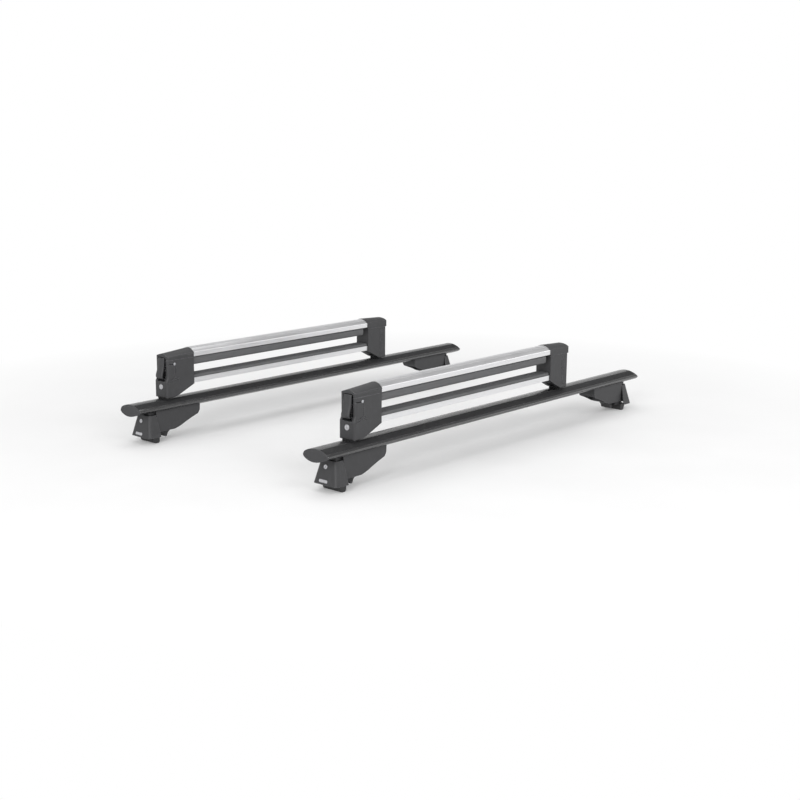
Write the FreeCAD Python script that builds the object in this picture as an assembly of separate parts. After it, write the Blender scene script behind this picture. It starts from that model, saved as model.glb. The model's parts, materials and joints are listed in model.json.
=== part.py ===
"""Roof ski rack: two aerofoil crossbars on clamping legs, carrying two clamshell ski carriers.

Frame: +X along the crossbars towards the carriers' hinges, +Y towards the front of the car, +Z up.
Origin: middle of the rack in plan, at the bottom of the clamp jaws.  Millimetres throughout.
"""
import FreeCAD
import Part
import math
import os

V = FreeCAD.Vector

# ---------------------------------------------------------------- driving dimensions
BAR_LENGTH = 1357.4          # overall, end caps included
BAR_SPACING = 700.0          # between the two crossbar centre lines
BAR_MID_Z = 95.3             # height of the bar's chord line
BAR_WALL = 2.4
END_CAP_LIP = 3.0            # visible thickness of a bar end cap
END_CAP_PLUG = 26.0          # depth that the end cap reaches into the bar

SLOT_MOUTH = 11.0            # T-slots that run along the bar
SLOT_LIP = 3.0
SLOT_WIDTH = 21.0
SLOT_DEPTH = 6.4
LOW_MOUTH = 8.6
LOW_LIP = 2.6
LOW_WIDTH = 15.0
LOW_DEPTH = 5.0

# Aerofoil section, (y, z) from the chord line, blunt edge forward
BAR_CURVE = [
    (41.65, -1.5), (37.0, 6.2), (27.5, 11.6), (15.0, 15.2), (0.0, 16.6), (-14.0, 15.0), (-27.0, 10.9),
    (-37.5, 5.6), (-41.65, 1.0), (-39.0, -3.0), (-24.0, -9.8), (-11.0, -14.5), (2.0, -16.9),
    (15.0, -16.8), (27.0, -14.0), (37.0, -9.0),
]
BAR_TOP = 16.6
BAR_LOW = -17.0
GRIP_FROM = -34.5            # rubber grip strip on the rear flank of the bar's top
GRIP_TO = -11.5
GRIP_THICK = 1.5
BODY_END = BAR_LENGTH / 2 - END_CAP_LIP

CARRIER_X = -567.0           # end face of a carrier's latch housing
CARRIER_Z = 115.0            # underside of a carrier's housings
CARRIER_WIDTH = 50.8
LATCH_LENGTH = 92.5
PLINTH_X = -6.0              # the latch post's foot stands proud of its upper part
PLINTH_TOP = 45.0
TOWER_FROM = 58.0            # above this height the latch post's end face is at x = 0
HINGE_START = 801.0          # inboard face of the hinge post, from the end face
CARRIER_LENGTH = 884.0
HOUSING_WALL = 3.2

PARTING_Z = 104.0            # top of the latch post, from the housing's underside
ARM_BOTTOM = 105.5
ARM_EDGE = 117.0
ARM_CROWN = 129.5
ARM_HALF = 25.0
ARM_WALL = 2.2
CROWN_LINES = (-13.0, -6.5, 0.0, 6.5, 13.0)     # fine grooves along the upper arm's crown
CAP_CROWN = 128.0            # latch cap where it meets the arm
CAP_EDGE = 115.2
NOSE_CROWN = 120.5           # latch cap at its free end
NOSE_EDGE = 113.0
BEAD_R = 1.6                 # bead along each shoulder of the latch cap
HINGE_CROWN = 130.8          # hinge cap where it meets the arm
HINGE_EDGE = 118.2
TAIL_CROWN = 126.2           # hinge cap at its outer end
TAIL_EDGE = 116.0
HINGE_CAP_BOTTOM = 100.5
SHOULDER = 2.4               # width of a crowned top's rounded shoulders
SHOULDER_SHARE = 0.2         # part of the top's rise that the shoulders take

LOWER_BOTTOM = 31.0          # lower arm's extrusion
LOWER_TOP = 45.0
LOWER_HALF = 22.0
LOWER_PAD_TOP = 53.5
UPPER_PAD_BOTTOM = 80.5
UPPER_PAD_HALF = 21.5
PAD_WALL = 3.2
PAD_START = 94.5
PAD_END = 782.0
SCREW_SEAT = 26.0            # height of the heads of the screws that hold the lower arm
SCREW_X = (72.0, 821.0)
SCREW_R = 2.3
ARM_IN_LATCH = 56.0          # ends of the lower arm inside the two housings
ARM_IN_HINGE = 838.0

BUTTON_PIN_X = 24.5
BUTTON_PIN_Z = 93.0
BUTTON_PIN_R = 3.0
BUTTON_HALF = 13.0
RECESS_HALF = 17.0
RECESS_BOTTOM = 46.0
RECESS_TOP = 112.5
RECESS_DEPTH = 37.0
LOCK_Y = -1.6
LOCK_Z = 31.0
LOCK_R = 7.4
CAM_X = (19.6, 23.6)
CAM_REACH = 17.0
WEB_BOTTOM = 86.5            # underside of the button's web, where its spring pushes
SPRING_X = 12.5
SPRING_R = 3.2
SPRING_WIRE = 0.55
SPRING_TURNS = 9
SPRING_FOOT = RECESS_BOTTOM + 0.7
SPRING_TOP = WEB_BOTTOM - 0.6
SPRING_SEAT = 2.6             # depth of the blind bore in the web that the spring enters when pressed

HINGE_PIN_R = 2.0
HINGE_PIN_X = 884.0
HINGE_PIN_Z = 104.0
KNUCKLE_R = 4.4
EAR_HALF = 8.0

FOOT_X = (5.0, 865.0)        # carrier feet, from the end face
FOOT_HALF_X = 6.0
FOOT_HALF_Y = 19.0
BOLT_R = 3.0                 # M6 hardware
RUN = 0.05                   # radial clearance of a running fit
GAP = 0.4                    # clearance between separate bodies

LEG_PANEL_HALF = 28.0        # legs, given at the -X end
LEG_NECK_HALF = 21.0
TOE_HALF = 16.0              # inner toe that stands beside the roof rail
NECK_X = -631.0              # outer end of a leg's neck, inside its cover
COVER_TOP_Z = 77.0
COVER_BOTTOM_Z = 18.0
COVER_WALL = 2.6
COVER_ROUND = 11.0           # radius of a cover's two upright corners
COVER_TOP_X = -637.0         # outer end face of a cover at its top and bottom
COVER_LOW_X = -649.0
COVER_TOP_HALF = 27.5
COVER_LOW_HALF = 41.0
GROOVE_TOP_X = -613.0        # joint line between a cover and its leg
GROOVE_LOW_X = -607.8
GROOVE_GAP = 1.6
CHANNEL_OUT_X = -605.4       # sides of the channel that takes the roof rail
CHANNEL_IN_X = -577.2
CHANNEL_TOP_Z = 29.0
BAR_BOLT_X = -545.0
JAW_PLATE_X = (-626.0, -616.0)
LEG_LOCK_Y = 4.0
LEG_LOCK_Z = 61.0
LEG_LOCK_R = 5.6
RAIL_PAD_Z = 19.0            # underside of the rubber pad that sits on the roof rail
CLAMP_BOLT_Z = 43.0
JAW_HALF = 20.0
JAW_FOOT_HALF = 30.0
FACE_LEAN = math.atan2(COVER_TOP_X - COVER_LOW_X, COVER_TOP_Z - COVER_BOTTOM_Z)


# ---------------------------------------------------------------- small modelling helpers
def box(x0, x1, y0, y1, z0, z1):
    """Box between two corners."""
    return Part.makeBox(x1 - x0, y1 - y0, z1 - z0, V(x0, y0, z0))


def rod(radius, start, end):
    """Cylinder from one point to another."""
    a = V(*start)
    b = V(*end)
    return Part.makeCylinder(radius, (b - a).Length, a, b - a)


def face_of(points, plane, at):
    """Flat face from (a, b) points: plane "xz" lies at y = at, plane "yz" at x = at, "xy" at z = at."""
    place = {
        "xz": lambda a, b: V(a, at, b),
        "yz": lambda a, b: V(at, a, b),
        "xy": lambda a, b: V(a, b, at),
    }[plane]
    corners = [place(a, b) for a, b in points]
    return Part.Face(Part.makePolygon(corners + [corners[0]]))


def prism(points, plane, low, high):
    """Extrude a closed outline between two levels of the plane's own normal axis."""
    along = {"xz": V(0, high - low, 0), "yz": V(high - low, 0, 0), "xy": V(0, 0, high - low)}[plane]
    return face_of(points, plane, low).extrude(along)


def rounded(points, radii):
    """Closed wire in the xy plane whose corners are arcs of the given radii."""
    count = len(points)
    edges = []
    ends = []
    for i in range(count):
        prev_pt = V(*points[i - 1], 0)
        here = V(*points[i], 0)
        next_pt = V(*points[(i + 1) % count], 0)
        r = radii[i]
        if r <= 0:
            ends.append((here, None, here))
            continue
        into = (here - prev_pt).normalize()
        out = (next_pt - here).normalize()
        turn = into.getAngle(out)
        back = r * math.tan(turn / 2)
        start = here - into * back
        finish = here + out * back
        bisect = (out - into).normalize()
        middle = here + bisect * (r / math.cos(turn / 2) - r)
        ends.append((start, middle, finish))
    for i in range(count):
        start, middle, finish = ends[i]
        if middle is not None:
            edges.append(Part.Arc(start, middle, finish).toShape())
        following = ends[(i + 1) % count][0]
        if (following - finish).Length > 1e-6:
            edges.append(Part.LineSegment(finish, following).toShape())
    return Part.Wire(edges)


def plane_matrix(plane, at):
    """Matrix that lays the xy plane into another plane at a level."""
    rows = {
        "xz": (1, 0, 0, 0, 0, 0, -1, at, 0, 1, 0, 0),
        "yz": (0, 0, 1, at, 1, 0, 0, 0, 0, 1, 0, 0),
        "xy": (1, 0, 0, 0, 0, 1, 0, 0, 0, 0, 1, at),
    }[plane]
    return FreeCAD.Matrix(*rows, 0, 0, 0, 1)


def round_prism(points, radii, plane, low, high):
    """Extrude an outline with rounded corners."""
    wire = rounded(points, radii)
    wire = wire.transformGeometry(plane_matrix(plane, low))
    along = {"xz": V(0, high - low, 0), "yz": V(high - low, 0, 0), "xy": V(0, 0, high - low)}[plane]
    return Part.Face(wire).extrude(along)


def smooth_loop(points):
    """Smooth closed curve through (y, z) points."""
    curve = Part.BSplineCurve()
    curve.interpolate(Points=[V(0, y, z) for y, z in points], PeriodicFlag=True)
    return curve


def inset(points, depth):
    """The points of a closed outline moved inwards, square to the curve through them."""
    curve = smooth_loop(points)
    moved = []
    for y, z in points:
        tangent = V(*curve.tangent(curve.parameter(V(0, y, z)))[0])
        inward = V(1, 0, 0).cross(tangent).normalize()
        if inward.dot(V(0, -y, -z)) < 0:
            inward = inward * -1
        moved.append((y + inward.y * depth, z + inward.z * depth))
    return moved


def curve_prism(points, low, high, depth=0.0):
    """Extrude a smooth closed (y, z) curve along X, set in by a depth."""
    loop = smooth_loop(inset(points, depth) if depth else points)
    face = Part.Face(Part.Wire(loop.toShape())).translated(V(low, 0, 0))
    return face.extrude(V(high - low, 0, 0))


def fused(*shapes):
    """Union of solids, with coplanar faces merged."""
    whole = shapes[0].multiFuse(list(shapes[1:])) if len(shapes) > 1 else shapes[0]
    return whole.removeSplitter()


def less(shape, *tools):
    """Shape with tools removed."""
    return shape.cut(list(tools))


def mirror_x(shape):
    """Mirror image across the plane x = 0."""
    return shape.mirror(V(0, 0, 0), V(1, 0, 0))


def save(name, *solids):
    """Write one node."""
    shape = solids[0] if len(solids) == 1 else Part.makeCompound(list(solids))
    if len(shape.Solids) == 1:
        shape = shape.Solids[0]
    if not shape.isValid():
        raise ValueError(name + " is not a valid shape")
    print("%-26s solids %d  volume %.0f" % (name, len(shape.Solids), shape.Volume))
    shape.exportStep("parts/" + name + ".step")


def in_carrier(shape, y):
    """Move a shape from a carrier's own frame to the rack's."""
    return shape.translated(V(CARRIER_X, y, CARRIER_Z))


# ---------------------------------------------------------------- crossbars
def bar_solid(low, high, depth=0.0):
    """Solid aerofoil between two x positions, centred on y = 0 at the bar's height."""
    return curve_prism(BAR_CURVE, low, high, depth).translated(V(0, 0, BAR_MID_Z))


def slot_boxes(x0, x1):
    """The mouths and chambers of the bar's top and bottom T-slots."""
    top = BAR_MID_Z + BAR_TOP
    low = BAR_MID_Z + BAR_LOW
    roof = top - SLOT_LIP
    floor = low + LOW_LIP
    return [
        box(x0, x1, -SLOT_MOUTH / 2, SLOT_MOUTH / 2, roof - 1, top + 3),
        box(x0, x1, -SLOT_WIDTH / 2, SLOT_WIDTH / 2, roof - SLOT_DEPTH, roof),
        box(x0, x1, -LOW_MOUTH / 2, LOW_MOUTH / 2, low - 3, floor + 1),
        box(x0, x1, -LOW_WIDTH / 2, LOW_WIDTH / 2, floor, floor + LOW_DEPTH),
    ]


def bar_chambers(x0, x1, shrink=0.0):
    """Hollow chambers either side of the T-slots; a positive shrink gives an end cap's plugs."""
    hollow = bar_solid(x0, x1, BAR_WALL + shrink)
    web = SLOT_WIDTH / 2 + BAR_WALL + shrink
    front = hollow.common(box(x0, x1, web, 60, 0, 200))
    rear = hollow.common(box(x0, x1, -60, -web, 0, 200))
    return [front, rear]


def grip_strip(x0, x1):
    """Ribbed rubber strip let into the rear flank of the bar's top."""
    band = box(x0, x1, GRIP_FROM, GRIP_TO, BAR_MID_Z, BAR_MID_Z + 30)
    return less(bar_solid(x0, x1).common(band), bar_solid(x0 - 1, x1 + 1, GRIP_THICK))


def slot_strip(x0, x1):
    """Infill that closes the top T-slot between the carrier feet."""
    top = BAR_MID_Z + BAR_TOP
    mouth = box(x0, x1, -SLOT_MOUTH / 2, SLOT_MOUTH / 2, top - SLOT_LIP - 1.6, top + 3)
    foot = box(x0, x1, -SLOT_MOUTH / 2 - 1.6, SLOT_MOUTH / 2 + 1.6, top - SLOT_LIP - 1.6, top - SLOT_LIP)
    return fused(mouth.common(bar_solid(x0, x1)), foot)


def make_bar():
    """Hollow extruded bar with its T-slots and the groove of the grip strip."""
    bar = bar_solid(-BODY_END, BODY_END)
    core_top = BAR_MID_Z + BAR_TOP - SLOT_LIP - SLOT_DEPTH - BAR_WALL
    core_low = BAR_MID_Z + BAR_LOW + LOW_LIP + LOW_DEPTH + BAR_WALL
    core = box(-BODY_END, BODY_END, -SLOT_WIDTH / 2, SLOT_WIDTH / 2, core_low, core_top)
    cuts = bar_chambers(-BODY_END, BODY_END) + slot_boxes(-BODY_END, BODY_END)
    return less(bar, core, grip_strip(-BODY_END, BODY_END), *cuts)


def make_end_cap():
    """Moulded cap on the -X end of a bar, with a plug in each chamber."""
    outer = -BAR_LENGTH / 2
    inner = outer + END_CAP_LIP
    lip = bar_solid(outer, inner)
    plugs = bar_chambers(inner - 1, inner + END_CAP_PLUG, 0.1)
    return fused(lip, *plugs)


def foot_gaps():
    """The x ranges of the top slot between the carrier feet, with the bar's ends."""
    edges = [-BODY_END]
    for foot in FOOT_X:
        edges += [CARRIER_X + foot - FOOT_HALF_X, CARRIER_X + foot + FOOT_HALF_X]
    edges.append(BODY_END)
    return [(edges[i], edges[i + 1]) for i in range(0, len(edges), 2)]


def build_bars():
    """Both crossbars, their strips and their end caps."""
    bar = make_bar()
    cap = make_end_cap()
    caps = []
    grips = []
    infills = []
    for name, y in (("rear", -BAR_SPACING / 2), ("front", BAR_SPACING / 2)):
        shift = V(0, y, 0)
        save(name + "_crossbar", bar.translated(shift))
        caps += [cap.translated(shift), mirror_x(cap).translated(shift)]
        grips.append(grip_strip(-BODY_END, BODY_END).translated(shift))
        infills += [slot_strip(a, b).translated(shift) for a, b in foot_gaps()]
    save("bar_end_caps", *caps)
    save("bar_grip_strips", *grips)
    save("bar_slot_strips", *infills)


# ---------------------------------------------------------------- carriers
def dome_wire(half, bottom, edge, crown, x):
    """Section with flat sides, rounded shoulders and a crowned top, at an x position."""
    rise = SHOULDER_SHARE * (crown - edge)
    a = V(x, -half, bottom)
    b = V(x, half, bottom)
    c = V(x, half, edge)
    d = V(x, half - SHOULDER, edge + rise)
    e = V(x, -half + SHOULDER, edge + rise)
    f = V(x, -half, edge)
    right_mid = V(x, half - SHOULDER * 0.30, edge + rise * 0.70)
    left_mid = V(x, -half + SHOULDER * 0.30, edge + rise * 0.70)
    edges = [
        Part.LineSegment(a, b).toShape(),
        Part.LineSegment(b, c).toShape(),
        Part.Arc(c, right_mid, d).toShape(),
        Part.Arc(d, V(x, 0, crown), e).toShape(),
        Part.Arc(e, left_mid, f).toShape(),
        Part.LineSegment(f, a).toShape(),
    ]
    return Part.Wire(edges)


def dome(half, bottom, edge, crown, x0, x1):
    """Crowned section extruded along X."""
    return Part.Face(dome_wire(half, bottom, edge, crown, x0)).extrude(V(x1 - x0, 0, 0))


def sloping_dome(half, bottom, first, second, x0, x1):
    """Crowned form whose (edge, crown) heights change from one end to the other."""
    wires = [dome_wire(half, bottom, *first, x0), dome_wire(half, bottom, *second, x1)]
    return Part.makeLoft(wires, True, True)


def crown_height(y):
    """Height of the upper arm's crown at a y position."""
    half = ARM_HALF - SHOULDER
    sag = (1 - SHOULDER_SHARE) * (ARM_CROWN - ARM_EDGE)
    radius = (half ** 2 + sag ** 2) / (2 * sag)
    return ARM_CROWN - radius + math.sqrt(radius ** 2 - y ** 2)


def hexagon(across, x, y, z0, z1):
    """Hexagonal prism standing on a nut's place."""
    r = across / math.sqrt(3)
    points = [(x + r * math.cos(math.pi / 3 * k), y + r * math.sin(math.pi / 3 * k)) for k in range(6)]
    return prism(points, "xy", z0, z1)


def plan_wire(x0, x1, left, right, z):
    """Plan of a housing at a height, with the radii of its left and right corners."""
    half = CARRIER_WIDTH / 2
    wire = rounded([(x0, -half), (x1, -half), (x1, half), (x0, half)], [left, right, right, left])
    return wire.translated(V(0, 0, z))


def post_blank(levels, x1, left, right, foot_radii, top):
    """Housing blank from the x of its left face at several heights, rounded along its bottom edges."""
    half = CARRIER_WIDTH / 2
    form = Part.makeLoft([plan_wire(x0, x1, left, right, z) for x0, z in levels], True, True)
    x0 = levels[0][0]
    side = round_prism([(x0, 0), (x1, 0), (x1, top), (x0, top)], foot_radii + [0, 0], "xz", -half, half)
    section = [(-half, 0), (half, 0), (half, top), (-half, top)]
    rounded_section = round_prism(section, [4, 4, 0, 0], "yz", x0 - 1, x1 + 1)
    return form.common(side).common(rounded_section)


def side_grooves(outline):
    """The same shallow groove in both sides of a housing, from its (x, z) outline."""
    depth = 1.2
    half = CARRIER_WIDTH / 2
    return [prism(outline, "xz", -half - 1, -half + depth), prism(outline, "xz", half - depth, half + 1)]


def slanted(x0, z0, x1, z1, width):
    """Outline of a straight groove between two points."""
    return [(x0, z0), (x1, z1), (x1, z1 + width), (x0, z0 + width)]


def bolt_pocket(x_bolt, x_from, x_to):
    """Clearance hole and nut pocket of a carrier foot's bolt."""
    hole = rod(BOLT_R + 0.25, (x_bolt, 0, -1), (x_bolt, 0, 5))
    return [hole, box(x_from, x_to, -9, 9, 4, 14.5)]


def screw_pocket(x):
    """Counterbored hole of the screw that holds the lower arm in a housing."""
    shank = rod(SCREW_R + 0.2, (x, 0, SCREW_SEAT - 1), (x, 0, LOWER_BOTTOM + 1))
    return [rod(5.0, (x, 0, -1), (x, 0, SCREW_SEAT)), shank]


def make_latch_post():
    """Fixed housing under the latch: push-button recess, lock bore and socket for the lower arm."""
    x1 = LATCH_LENGTH
    levels = [(PLINTH_X, 0), (PLINTH_X, PLINTH_TOP), (0, TOWER_FROM), (0, PARTING_Z)]
    blank = post_blank(levels, x1, 6, 2, [5, 0], PARTING_Z)
    chamfer = prism([(14, -1), (x1 + 1, -1), (x1 + 1, 30.4), (x1, 30), (33, 4.2), (14, 0)], "xz", -40, 40)
    r = RECESS_HALF
    open_top = PARTING_Z + 16
    recess = [(-r, RECESS_BOTTOM), (r, RECESS_BOTTOM), (r, open_top), (-r, open_top)]
    well = box(40.2, x1 - HOUSING_WALL, -22, 22, 49, PARTING_Z + 1)
    pin = rod(BUTTON_PIN_R, (BUTTON_PIN_X, -40, BUTTON_PIN_Z), (BUTTON_PIN_X, 40, BUTTON_PIN_Z))
    cuts = [
        chamfer,
        round_prism(recess, [4, 4, 0, 0], "yz", PLINTH_X - 1, RECESS_DEPTH),
        well,
        pin,
        box(ARM_IN_LATCH, x1 + 1, -LOWER_HALF, LOWER_HALF, LOWER_BOTTOM, LOWER_TOP),
        rod(LOCK_R + RUN, (PLINTH_X - 1, LOCK_Y, LOCK_Z), (CAM_X[1] + GAP, LOCK_Y, LOCK_Z)),
        rod(CAM_REACH + GAP, (CAM_X[0] - GAP, LOCK_Y, LOCK_Z), (CAM_X[1] + GAP, LOCK_Y, LOCK_Z)),
    ]
    cuts += bolt_pocket(FOOT_X[0], PLINTH_X + 3.5, 62)
    cuts.append(box(20, 62, -9, 9, -1, 5))
    cuts += screw_pocket(SCREW_X[0])
    half = CARRIER_WIDTH / 2
    for side in (-1, 1):
        inner = sorted((side * (half - 3.4), side * (half + 1)))
        cuts.append(box(-1, BUTTON_PIN_X, inner[0], inner[1], BUTTON_PIN_Z - 1.5, BUTTON_PIN_Z + 1.5))
        ring_floor = (BUTTON_PIN_X, side * (half - 1.2), BUTTON_PIN_Z)
        cuts.append(rod(4.3, ring_floor, (BUTTON_PIN_X, side * 40, BUTTON_PIN_Z)))
    cuts += side_grooves(slanted(26.0, 55, 27.8, 55, 30))
    for drop in (0.0, 5.5):
        cuts += side_grooves(slanted(1.5, 47 - drop, 26.4, 56 - drop, 2.0))
        cuts += side_grooves(slanted(26.4, 56 - drop, 38, 51 - drop, 2.0))
    return less(blank, *cuts)


def make_hinge_post():
    """Fixed housing under the hinge, with the centre knuckle of the hinge."""
    x0 = HINGE_START
    x1 = CARRIER_LENGTH
    top = HINGE_CAP_BOTTOM - GAP
    blank = post_blank([(x0, 0), (x0, top)], x1, 2, 4, [0, 5], top)
    chamfer = prism([(x0 - 1, -1), (858, -1), (858, 0), (x0, 29.3), (x0 - 1, 29.8)], "xz", -40, 40)
    cuts = [
        chamfer,
        box(x0 + HOUSING_WALL, x1 - 11, -22, 22, 49, top + 1),
        box(x0 - 1, ARM_IN_HINGE, -LOWER_HALF, LOWER_HALF, LOWER_BOTTOM, LOWER_TOP),
        rod(KNUCKLE_R + GAP, (HINGE_PIN_X, -40, HINGE_PIN_Z), (HINGE_PIN_X, 40, HINGE_PIN_Z)),
    ]
    cuts += bolt_pocket(FOOT_X[1], x0 + 8, FOOT_X[1] + 9)
    cuts += screw_pocket(SCREW_X[1])
    for x in (854.5, 860.0, 865.5):
        cuts += side_grooves(slanted(x, 8, x + 1.3, 8, 86))
    post = less(blank, *cuts)
    ear = box(x1 - 7, x1, -EAR_HALF, EAR_HALF, top - 3, HINGE_PIN_Z)
    knuckle = rod(KNUCKLE_R, (HINGE_PIN_X, -EAR_HALF, HINGE_PIN_Z), (HINGE_PIN_X, EAR_HALF, HINGE_PIN_Z))
    bore = rod(HINGE_PIN_R, (HINGE_PIN_X, -30, HINGE_PIN_Z), (HINGE_PIN_X, 30, HINGE_PIN_Z))
    return less(fused(post, ear, knuckle), bore)


def upper_channel(x0, x1):
    """T-channel in the upper arm's underside that holds its pad."""
    return [box(x0, x1, -6, 6, ARM_BOTTOM - 1, 108), box(x0, x1, -10.5, 10.5, 107.2, 110)]


def arm_hollow(x0, x1, shrink=0.0):
    """Closed chamber of the upper arm's extrusion."""
    half = ARM_HALF - ARM_WALL - shrink
    return dome(half, 111.8 + shrink, ARM_EDGE - 1.2 - shrink, ARM_CROWN - ARM_WALL - shrink, x0, x1)


def make_upper_arm():
    """Crowned aluminium extrusion between the latch cap and the hinge cap."""
    x0 = LATCH_LENGTH
    x1 = HINGE_START + 2
    outer = dome(ARM_HALF, ARM_BOTTOM, ARM_EDGE, ARM_CROWN, x0, x1)
    lines = [box(x0, x1, y - 0.5, y + 0.5, crown_height(y) - 0.6, ARM_CROWN + 1) for y in CROWN_LINES]
    return less(outer, arm_hollow(x0, x1), *upper_channel(x0, x1), *lines)


def make_upper_pad():
    """Soft hollow rubber profile under the upper arm, keyed into its channel."""
    x0 = PAD_START
    x1 = PAD_END
    half = UPPER_PAD_HALF
    top = ARM_BOTTOM
    low = UPPER_PAD_BOTTOM
    outline = [(-half, low), (half, low), (half, top), (-half, top)]
    outer = round_prism(outline, [8, 8, 2.5, 2.5], "yz", x0, x1)
    t = PAD_WALL
    hole = [(-half + t, low + t), (half - t, low + t), (half - t, top - t), (-half + t, top - t)]
    inner = round_prism(hole, [5, 5, 2, 2], "yz", x0, x1)
    neck = box(x0, x1, -5.8, 5.8, top - 0.5, 108)
    key = box(x0, x1, -10.3, 10.3, 107.4, 109.8)
    return fused(less(outer, inner), neck, key)


def make_latch_cap():
    """Moulded cap on the free end of the upper arm; it closes over the latch post."""
    half = CARRIER_WIDTH / 2
    x1 = LATCH_LENGTH
    low = PARTING_Z + GAP
    body = sloping_dome(half, low, (NOSE_EDGE, NOSE_CROWN), (CAP_EDGE, CAP_CROWN), 0, x1)
    front = [(0, low), (x1, low), (x1, CAP_CROWN + 0.1), (0, NOSE_CROWN + 0.1)]
    nose = round_prism(front, [0, 0, 0, 5], "xz", -40, 40)
    plan = round_prism([(0, -half), (x1, -half), (x1, half), (0, half)], [6, 1, 1, 6], "xy", 90, 140)
    body = body.common(nose).common(plan)
    notch = [(-RECESS_HALF, 90), (RECESS_HALF, 90), (RECESS_HALF, RECESS_TOP), (-RECESS_HALF, RECESS_TOP)]
    body = less(
        body,
        round_prism(notch, [0, 0, 4, 4], "yz", -1, 14),
        box(13, x1 - 4, -22, 22, low - 1, 114.6),
    )
    beads = []
    for side in (-1, 1):
        y = side * (half - 1.0)
        beads.append(rod(BEAD_R, (14, y, NOSE_EDGE + 0.4), (x1 - 0.1, y, CAP_EDGE)))
    return fused(body, arm_hollow(x1 - 1, x1 + 28, 0.1), *beads)


def make_striker():
    """Steel striker under the latch cap that the push-button's catch holds down."""
    low = PARTING_Z - 1.4
    plate = box(31, 33.5, -9, 9, low, 114.6)
    ledge = box(26.5, 31, -9, 9, low, 105.9)
    flange = box(33.5, 46, -9, 9, 112.1, 114.6)
    return fused(plate, ledge, flange)


def make_button():
    """Push-button: a bulging face plate, a hub on the pin and the catch above it."""
    face = [(-5.0, 111.0), (-6.0, 99.0), (-7.2, 88.0), (-10.0, 76.0), (-13.8, 65.5), (-14.6, 59.5)]
    back = [
        (-11.5, 55.0), (-3.0, 51.6), (1.0, 51.6), (1.0, 57.0),
        (-4.5, 62.0), (-1.5, 76.0), (2.0, 88.0), (2.5, 111.0),
    ]
    curve = Part.BSplineCurve()
    curve.interpolate(Points=[V(x, 0, z) for x, z in face])
    corners = [V(x, 0, z) for x, z in [face[-1]] + back + [face[0]]]
    edges = [curve.toShape()]
    for start, end in zip(corners, corners[1:]):
        edges.append(Part.LineSegment(start, end).toShape())
    section = Part.Face(Part.Wire(edges)).translated(V(0, -BUTTON_HALF, 0))
    plate = section.extrude(V(0, 2 * BUTTON_HALF, 0))
    web = prism([(0, WEB_BOTTOM), (BUTTON_PIN_X, WEB_BOTTOM), (BUTTON_PIN_X, 99), (0, 101)], "xz", -8, 8)
    hub = rod(6.0, (BUTTON_PIN_X, -BUTTON_HALF, BUTTON_PIN_Z), (BUTTON_PIN_X, BUTTON_HALF, BUTTON_PIN_Z))
    hook = [(18.5, 94), (24.4, 94), (24.4, 106.5), (26.2, 106.5), (24.4, 110), (19.5, 110)]
    catch = prism(hook, "xz", -8, 8)
    bore = rod(BUTTON_PIN_R + RUN, (BUTTON_PIN_X, -40, BUTTON_PIN_Z), (BUTTON_PIN_X, 40, BUTTON_PIN_Z))
    seat = rod(SPRING_R + 1.3, (SPRING_X, 0, WEB_BOTTOM - 1), (SPRING_X, 0, WEB_BOTTOM + SPRING_SEAT))
    return less(fused(plate, web, hub, catch), bore, seat)


def make_button_spring():
    """Compression spring that stands in the recess and lifts the outer side of the button's web."""
    height = SPRING_TOP - SPRING_FOOT
    helix = Part.makeHelix(height / SPRING_TURNS, height, SPRING_R)
    circle = Part.Wire(Part.Circle(V(SPRING_R, 0, 0), V(0, 1, 0), SPRING_WIRE).toShape())
    coil = Part.Wire(helix).makePipeShell([circle], True, True)
    return coil.translated(V(SPRING_X, 0, SPRING_FOOT))


def make_lock_barrel():
    """Key barrel of the carrier, with the cam at its inner end."""
    start = PLINTH_X - 0.6
    barrel = rod(LOCK_R, (start, LOCK_Y, LOCK_Z), (CAM_X[0], LOCK_Y, LOCK_Z))
    slot = box(start - 1, start + 2.2, LOCK_Y - 0.7, LOCK_Y + 0.7, LOCK_Z - 3.4, LOCK_Z + 3.4)
    cam = box(CAM_X[0], CAM_X[1], LOCK_Y - CAM_REACH + 1, LOCK_Y, LOCK_Z - 4, LOCK_Z + 4)
    cam = cam.common(rod(CAM_REACH, (CAM_X[0], LOCK_Y, LOCK_Z), (CAM_X[1], LOCK_Y, LOCK_Z)))
    hub = rod(5.0, (CAM_X[0], LOCK_Y, LOCK_Z), (CAM_X[1], LOCK_Y, LOCK_Z))
    return less(fused(barrel, cam, hub), slot)


def make_lower_arm():
    """Lower extrusion, with a channel for its pad, fixed in the two housings."""
    x0 = ARM_IN_LATCH
    x1 = ARM_IN_HINGE
    outer = box(x0, x1, -LOWER_HALF, LOWER_HALF, LOWER_BOTTOM, LOWER_TOP)
    hollow = box(x0, x1, -LOWER_HALF + 2.2, LOWER_HALF - 2.2, LOWER_BOTTOM + 2.2, 38.4)
    channel = [box(x0, x1, -6, 6, 42, LOWER_TOP + 1), box(x0, x1, -10.5, 10.5, 40.4, 43.2)]
    screws = [rod(SCREW_R, (x, 0, 20), (x, 0, 35)) for x in SCREW_X]
    return less(outer, hollow, *channel, *screws)


def make_lower_pad():
    """Ribbed rubber pad on the lower arm."""
    x0 = LATCH_LENGTH + 1
    x1 = HINGE_START - 1
    outline = [(-20, LOWER_TOP), (20, LOWER_TOP), (20, LOWER_PAD_TOP), (-20, LOWER_PAD_TOP)]
    pad = round_prism(outline, [0, 0, 3, 3], "yz", x0, x1)
    key = fused(box(x0, x1, -5.8, 5.8, 43, LOWER_TOP + 0.5), box(x0, x1, -10.3, 10.3, 40.6, 43.0))
    grooves = [box(x0, x1, y - 1, y + 1, LOWER_PAD_TOP - 1.6, LOWER_PAD_TOP + 1) for y in (-12, -6, 0, 6, 12)]
    return fused(less(pad, *grooves), key)


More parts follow.
